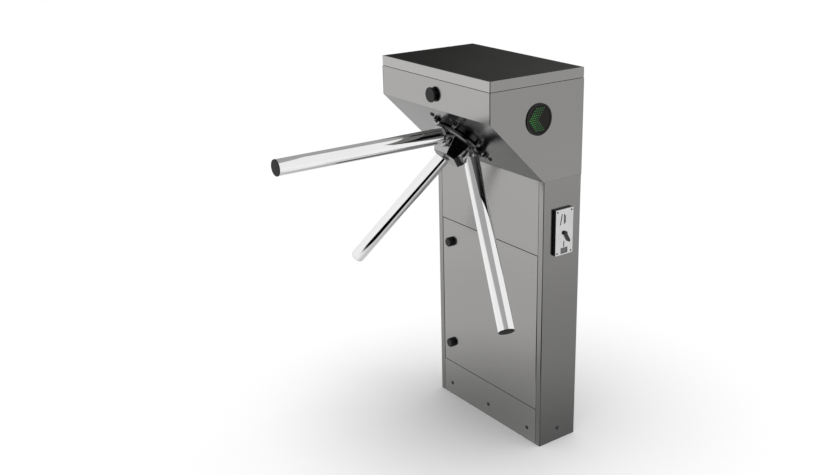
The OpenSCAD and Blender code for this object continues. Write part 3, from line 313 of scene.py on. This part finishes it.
# Painted light and shade: each steel panel has its own level, the same steel made lighter or darker by how the light
# falls on that face (0.09 on the slanted panel, 0.43 on the lid's edge)
finishes = {
    "headFront": satinSteel("headFrontSteel", 0.375, headCorner),
    "headSide": satinSteel("headSideSteel", 0.245, headCorner),
    "slant": satinSteel("slantSteel", 0.09, headCorner),
    "columnFront": satinSteel("columnFrontSteel", 0.35, columnCorner, heightShade=0.12, footShade=0.05),
    "columnSide": satinSteel("columnSideSteel", 0.235, columnCorner, heightShade=0.34, lip=1.42),
    # the lid's sides painted darker than its front: painted shade
    "lidEdge": satinSteel("lidSteel", 0.43, headCorner, sides=0.60),
    "chrome": chromeTube(),
    "hubCasting": darkCasting("hubCasting", 0.42, plateShare=0.45, endShare=0.08),
    "flangeCasting": darkCasting("flangeCasting", 0.13),
    "bright": plainMetal("brightSteel", 0.62, 0.18),
    "zinc": plainMetal("zincPlate", 0.55, 0.34, warm=0.02),
    "rawCasting": plainMetal("rawCasting", 0.5, 0.42, pits=0.8),
    "blackSteel": plainMetal("blackSteel", 0.05, 0.3),
    "primer": moulded("greyPrimer", (0.13, 0.13, 0.135), 0.5),
    "coinPlate": plainMetal("coinPlateSteel", 0.62, 0.22),
    "black": moulded("blackPlastic", (0.012, 0.012, 0.012), 0.36, shine=0.2),
    "board": topBoard(),
    "cap": moulded("blackEndCap", (0.014, 0.014, 0.014), 0.45, shine=0.12),
    "window": moulded("darkWindow", (0.016, 0.014, 0.013), 0.14, shine=0.1, depth=0.00001),
    "lamp": litLamp(),
    "greyPlastic": moulded("greyPlastic", (0.15, 0.15, 0.155), 0.45),
    "circuit": circuitBoard(),
}
print("finishes made:", len(finishes))

finishedNodes = {
    "headFront": ["head_front_panel"],
    "headSide": ["head_cheek_left", "head_cheek_right"],
    "slant": ["slanted_panel"],
    "columnFront": ["upper_front_panel", "kick_plate", "service_door"],
    "columnSide": ["side_frame_left", "side_frame_right", "rear_panel"],
    "lidEdge": ["lid_tray"],
    "chrome": ["arm_level", "arm_left", "arm_right"],
    "hubCasting": ["rotor_hub"],
    "flangeCasting": ["hub_flange"],
    "bright": ["lid_hinge_pins", "hub_flange_screws", "main_shaft", "bearing_outer_rings",
               "bearing_inner_rings", "bearing_balls", "plunger_left", "plunger_right"],
    "zinc": ["door_pivot_pins", "door_cam_upper", "door_cam_lower", "head_lock_cam", "coin_box",
             "index_disc", "pawl_left", "pawl_right"],
    "rawCasting": ["mechanism_plate", "bearing_housing"],
    "blackSteel": ["foot_screws", "slanted_panel_screws", "coin_plate_screws", "coin_return_lever",
                   "hub_bolt"],
    "primer": ["base_plate", "cross_rails", "lid_hinge_leaves", "lid_hinge_flaps", "solenoid_coils"],
    "coinPlate": ["coin_plate"],
    "black": ["door_knob_upper", "door_knob_lower", "head_lock_bush", "head_lock_knob", "display_rims",
              "coin_unit_body", "shaft_damper"],
    "cap": ["arm_end_caps"],
    "board": ["lid_top_panel"],
    "window": ["display_lenses"],
    "lamp": ["display_lamps"],
    "greyPlastic": ["coin_validator", "power_supply", "coin_return_flap"],
    "circuit": ["control_board"],
}
finishOf = {name: finishes[key] for key, members in finishedNodes.items() for name in members}

mergeWithin = 1e-6           # metres
flatWithin = math.radians(0.6)
sharpAngle = math.radians(35)


def softened(name, width, segments=2):
    source = nodes[name]
    mesh = source.data.copy()
    mesh.name = name + "Soft"
    shape = bmesh.new()
    shape.from_mesh(mesh)
    bmesh.ops.remove_doubles(shape, verts=shape.verts, dist=mergeWithin)
    bmesh.ops.dissolve_limit(shape, angle_limit=flatWithin, verts=shape.verts, edges=shape.edges)
    for face in shape.faces:
        face.smooth = True
    for edge in shape.edges:
        edge.smooth = edge.calc_face_angle(0) < sharpAngle
    shape.to_mesh(mesh)
    shape.free()
    piece = bpy.data.objects.new(name + "Piece", mesh)
    scene.collection.objects.link(piece)
    broken = piece.modifiers.new("brokenEdges", "BEVEL")
    broken.width, broken.segments = width, segments
    broken.limit_method, broken.angle_limit = "ANGLE", sharpAngle
    broken.harden_normals = True
    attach(piece, source["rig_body"])
    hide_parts(name)
    return piece


edgeWidths = {                                 # broken edges in metres, under the record's material slots
    "steel": {"lid_tray": 0.0005, "head_cheek_left": 0.0004, "head_cheek_right": 0.0004,
              "head_front_panel": 0.0003, "slanted_panel": 0.0003, "side_frame_left": 0.0003,
              "side_frame_right": 0.0003, "upper_front_panel": 0.0005, "kick_plate": 0.0005,
              "service_door": 0.0003},
    "black_board": {"lid_top_panel": 0.0004},
    "dark_casting": {"rotor_hub": 0.0012, "hub_flange": 0.0006},
    "coin_silver": {"coin_plate": 0.0004},
    "black_plastic": {"coin_unit_body": 0.0004, "door_knob_upper": 0.0006, "door_knob_lower": 0.0006,
                      "head_lock_knob": 0.0005, "head_lock_bush": 0.0005, "arm_end_caps": 0.0005},
}
softPieces = {name: softened(name, width)
              for slot, widths in edgeWidths.items() for name, width in widths.items()}

for name, node in nodes.items():
    piece = softPieces.get(name, node)
    piece.data.materials.clear()
    piece.data.materials.append(finishOf[name])
print("broken edges:", len(softPieces))


room = {
    "floor": 9.0,
    "floorGrey": 0.88,
    "floorLift": 0.18,       # painted glow of the floor for camera and mirror rays, rising away from the object, so the floor is painted darker round its foot
    "liftFrom": 0.08,
    "liftTo": 0.8,
    "worldSoft": 0.66,       # the world as a lamp; where it is seen it is white
    "sunPower": 0.95,
    "sunSize": 40,           # degrees across
    "sunTurn": (-3, 5, 0),
}

# Studio cards that only mirror-like surfaces see
cards = {
    "radius": 1.15,
    "steps": 32,
    "screenFrom": -12,       # degrees round from -Y
    "screenTo": 84,
    "top": 1.95,
    "topRise": 0.05,
    "screenGrey": 0.43,      # of the screen's upper part and of the roof over it
    "greyFrom": 1.05,
    "greyTo": 1.3,
    "flagTurn": 50,          # where the dark flag on the screen stands
    "flagFacing": (0.935, 0.965),
    "flagLow": -0.2,
    "flagHigh": 1.12,
    "flagSoft": 0.1,
    "backFrom": 160,         # grey card high behind the object
    "backTo": 348,
    "backLow": 1.1,
    "backGrey": 0.40,
    "matHeight": 0.002,
    "matGrey": 0.45,         # of the mat close to the object: painted shade of the floor round its foot, seen only in mirrors
    "matFrom": 0.05,
    "matReach": 0.72,
    "matFlagFacing": (0.90, 0.94),
    "matFlagFrom": 0.5,      # the flag's foot on the mat starts here
    "matFlagSoft": 0.08,
    "clothLeft": -0.1,       # dark cloth on the mat in front of the object
    "clothRight": 0.32,
    "clothBack": -0.43,
    "clothFront": -1.0,
    "clothSlant": 0.3,
    "clothSoft": 0.04,
}


def stagePiece(name, shape, material):
    mesh = bpy.data.meshes.new(name)
    shape.to_mesh(mesh)
    shape.free()
    mesh.materials.append(material)
    piece = bpy.data.objects.new(name, mesh)
    scene.collection.objects.link(piece)
    return piece


def makeFloor(room):
    shape = bmesh.new()
    bmesh.ops.create_grid(shape, x_segments=1, y_segments=1, size=room["floor"])
    pale = Finish("paleFloor", Roughness=0.9, Specular_IOR_Level=0.0, Emission_Strength=1.0)
    spot, x, y, z = pale.place()
    away = (x * x + y * y) ** 0.5
    # Painted light: the floor glows more away from the object, leaving painted shade round its foot
    glow = away.between(room["liftFrom"], room["liftTo"]) * room["floorLift"] * pale.seen()
    colour = pale.mix(pale.noise(spot, 3.0), grey(room["floorGrey"]), grey(room["floorGrey"] + 0.01))
    stagePiece("floor", shape, pale.done(Base_Color=colour, Emission_Color=pale.mix(glow, grey(0), grey(1))))


def mirroredCard(name, shape, finish, **shader):
    piece = stagePiece(name, shape, finish.done(**shader))
    piece.visible_camera = piece.visible_diffuse = piece.visible_shadow = False
    piece.visible_transmission = False


def glowing(name):
    return Finish(name, Base_Color=(0, 0, 0, 1), Roughness=1.0, Specular_IOR_Level=0.0, Emission_Strength=1.0)


def spunCard(cards, first, last, low):
    shape = bmesh.new()
    start = Matrix.Rotation(math.radians(first), 4, "Z") @ Vector((0, -cards["radius"], 0))
    profile = [(start, low), (start, cards["top"]), (start * 0.02, cards["top"] + cards["topRise"])]
    corners = [shape.verts.new((at.x, at.y, height)) for at, height in profile]
    edges = [shape.edges.new(pair) for pair in zip(corners, corners[1:])]
    bmesh.ops.spin(shape, geom=corners + edges, cent=(0, 0, 0), axis=(0, 0, 1), steps=cards["steps"],
                   angle=math.radians(last - first))
    return shape


def makeCards(cards):
    turn = math.radians(cards["flagTurn"])
    cloth = glowing("studioScreen")
    spot, x, y, z = cloth.place()
    facing = (x * math.sin(turn) - y * math.cos(turn)) / cards["radius"]
    flag = facing.between(*cards["flagFacing"]) * z.between(cards["flagLow"], cards["flagLow"] + cards["flagSoft"])
    flag = flag * (1 - z.between(cards["flagHigh"], cards["flagHigh"] + cards["flagSoft"]))
    light = (1 - (1 - cards["screenGrey"]) * z.between(cards["greyFrom"], cards["greyTo"])) * (1 - flag)
    mirroredCard("screen", spunCard(cards, cards["screenFrom"], cards["screenTo"], 0.0), cloth,
                 Emission_Color=cloth.mix(light, grey(0), grey(1)))

    card = glowing("backCard")
    cloud = card.noise(card.place()[0], 3.0)
    mirroredCard("backCard", spunCard(cards, cards["backFrom"], cards["backTo"], cards["backLow"]), card,
                 Emission_Color=card.mix(cloud, grey(cards["backGrey"]), grey(cards["backGrey"] + 0.02)))

    mat = glowing("greyMat")
    spot, x, y, z = mat.place()
    away = (x * x + y * y) ** 0.5
    facing = (x * math.sin(turn) - y * math.cos(turn)) / away.most(0.01)
    foot = away.between(cards["matFlagFrom"], cards["matFlagFrom"] + cards["matFlagSoft"])
    shade = facing.between(*cards["matFlagFacing"]) * foot
    # Painted shade: the mat is darker close to the object, for the floor's shade round its foot
    light = cards["matGrey"] + (1 - cards["matGrey"]) * away.between(cards["matFrom"], cards["matReach"])
    soft, back, front = cards["clothSoft"], cards["clothBack"], cards["clothFront"]
    cloth = (0.0 - y).between(0.0 - back - soft / 2, soft / 2 - back) * y.between(front - 2.5 * soft, front)
    cloth = cloth * (x - cards["clothSlant"] * (y - back)).between(cards["clothLeft"] - soft, cards["clothLeft"])
    cloth = cloth * (1 - x.between(cards["clothRight"], cards["clothRight"] + 0.05))
    light = light * (1 - shade) * (1 - cloth)
    disc = bmesh.new()
    bmesh.ops.create_circle(disc, cap_ends=True, segments=48, radius=cards["radius"] + 0.02)
    bmesh.ops.translate(disc, vec=(0, 0, cards["matHeight"]), verts=disc.verts)
    mirroredCard("greyMat", disc, mat, Emission_Color=mat.mix(light, grey(0), grey(1)))


def makeLight(room):
    sky = Graph(bpy.data.worlds.new("paleWorld"))
    strength = room["worldSoft"] + (1 - room["worldSoft"]) * sky.seen()
    sky.node("OutputWorld", {}, {0: sky.node("Background", {}, {0: grey(1), 1: strength})})
    scene.world = sky.owner

    lampData = bpy.data.lights.new("key", "SUN")
    lampData.energy, lampData.angle = room["sunPower"], math.radians(room["sunSize"])
    lamp = bpy.data.objects.new("key", lampData)
    scene.collection.objects.link(lamp)
    lamp.rotation_euler = [math.radians(turn) for turn in room["sunTurn"]]


makeFloor(room)
makeCards(cards)
makeLight(room)
scene.view_settings.view_transform = "Standard"
print("room made")
